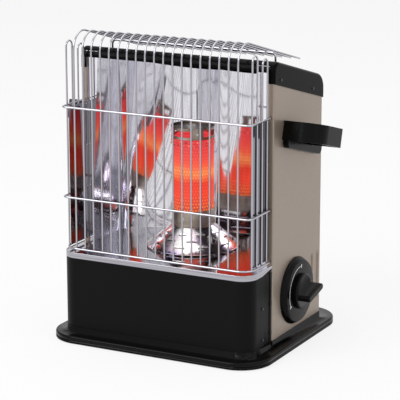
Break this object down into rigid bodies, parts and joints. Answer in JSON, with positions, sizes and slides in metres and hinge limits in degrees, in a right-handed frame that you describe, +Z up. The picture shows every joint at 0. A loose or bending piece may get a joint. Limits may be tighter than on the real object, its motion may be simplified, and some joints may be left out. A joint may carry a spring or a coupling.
{
  "type": "cassette gas heater",
  "caption": "Portable radiant heater with a glowing burner before a two-lobed reflector, wire guard, side handles, control knob and a rear canister bay.",
  "frame": {"origin": "on the floor, midway between the outer faces of the two handles and midway from the tray's front edge to the back of the canister cover", "axes": "+Z up, the front with the wire guard faces -Y, the control knob is on the +X side"},
  "size_m": [0.402, 0.292, 0.433],
  "materials": {
    "tray_paint": "glossy black paint on pressed steel",
    "foot_rubber": "matte black rubber",
    "body_paint": "champagne metallic paint on sheet steel",
    "cap_paint": "glossy black enamel",
    "panel_paint": "satin black paint",
    "pan_steel": "polished stainless steel",
    "reflector_steel": "mirror-polished stainless steel",
    "shield_steel": "plain galvanised sheet",
    "guard_chrome": "chromed wire",
    "plate_steel": "polished stainless sheet",
    "fastener_steel": "zinc-plated steel",
    "dish_steel": "bright pressed stainless steel",
    "collar_steel": "heat-tinted stainless steel",
    "glowing_steel": "perforated stainless steel, glowing when lit",
    "disc_steel": "heat-darkened steel",
    "cup_steel": "pressed steel",
    "handle_plastic": "glossy black plastic",
    "dial_plastic": "semi-gloss black plastic",
    "print_paint": "white printed scale",
    "knob_plastic": "semi-gloss black plastic",
    "valve_aluminium": "die-cast aluminium",
    "nozzle_brass": "turned brass",
    "pipe_aluminium": "drawn aluminium",
    "magnet_iron": "ferrite magnet",
    "canister_steel": "plain tinned steel can",
    "saddle_plastic": "black plastic",
    "cover_paint": "black paint on pressed steel",
    "switch_plastic": "black moulded plastic",
    "ceramic": "white glazed ceramic",
    "lead_rubber": "silicone-covered lead"
  },
  "bodies": {
    "case": {"base_tray": "tray_paint", "rubber_feet": "foot_rubber", "body_shell": "body_paint", "top_cap": "cap_paint", "front_panel": "panel_paint", "mirror_pan": "pan_steel", "reflector": "reflector_steel", "heat_shield": "shield_steel", "guard_rails": "guard_chrome", "front_wires": "guard_chrome", "side_wires": "guard_chrome", "top_support": "guard_chrome", "side_plate_left": "plate_steel", "side_plate_right": "plate_steel", "plate_rivets": "fastener_steel", "burner_dish": "dish_steel", "burner_collar": "collar_steel", "burner_mesh": "glowing_steel", "burner_core": "glowing_steel", "burner_head": "collar_steel", "burner_disc": "disc_steel", "burner_cup": "cup_steel", "handle_left": "handle_plastic", "handle_right": "handle_plastic", "dial_plate": "dial_plastic", "dial_scale": "print_paint", "gas_valve": "valve_aluminium", "gas_nozzle": "nozzle_brass", "mixing_tube": "cup_steel", "burner_bracket": "shield_steel", "gas_pipe": "pipe_aluminium", "pipe_nuts": "nozzle_brass", "governor": "valve_aluminium", "governor_magnet": "magnet_iron", "canister_bay": "shield_steel", "bay_saddles": "saddle_plastic", "heat_panel": "pipe_aluminium", "hinge_brackets": "shield_steel", "hinge_pins": "fastener_steel", "cover_catch": "magnet_iron", "tilt_switch": "switch_plastic", "piezo_igniter": "switch_plastic", "igniter_electrode": "ceramic", "igniter_lead": "lead_rubber", "flame_sensor": "fastener_steel", "panel_screws": "fastener_steel", "cap_screws": "fastener_steel", "burner_screws": "fastener_steel"},
    "knob": {"control_knob": "knob_plastic", "knob_spindle": "fastener_steel"},
    "cover": {"canister_cover": "cover_paint"},
    "gas_can": {"canister": "canister_steel"}
  },
  "joints": [
    {"name": "knob_turn", "type": "hinge", "parent": "case", "child": "knob", "pos_m": [0.15, 0.01, 0.0743], "axis": [1, 0, 0], "range_deg": [-105, 18]},
    {"name": "cover_swing", "type": "hinge", "parent": "case", "child": "cover", "pos_m": [0, 0.1016, 0.122], "axis": [1, 0, 0], "range_deg": [0, 90]},
    {"name": "canister_slide", "type": "slide", "parent": "case", "child": "gas_can", "axis": [1, 0, 0], "range_m": [-0.012, 0]}
  ]
}
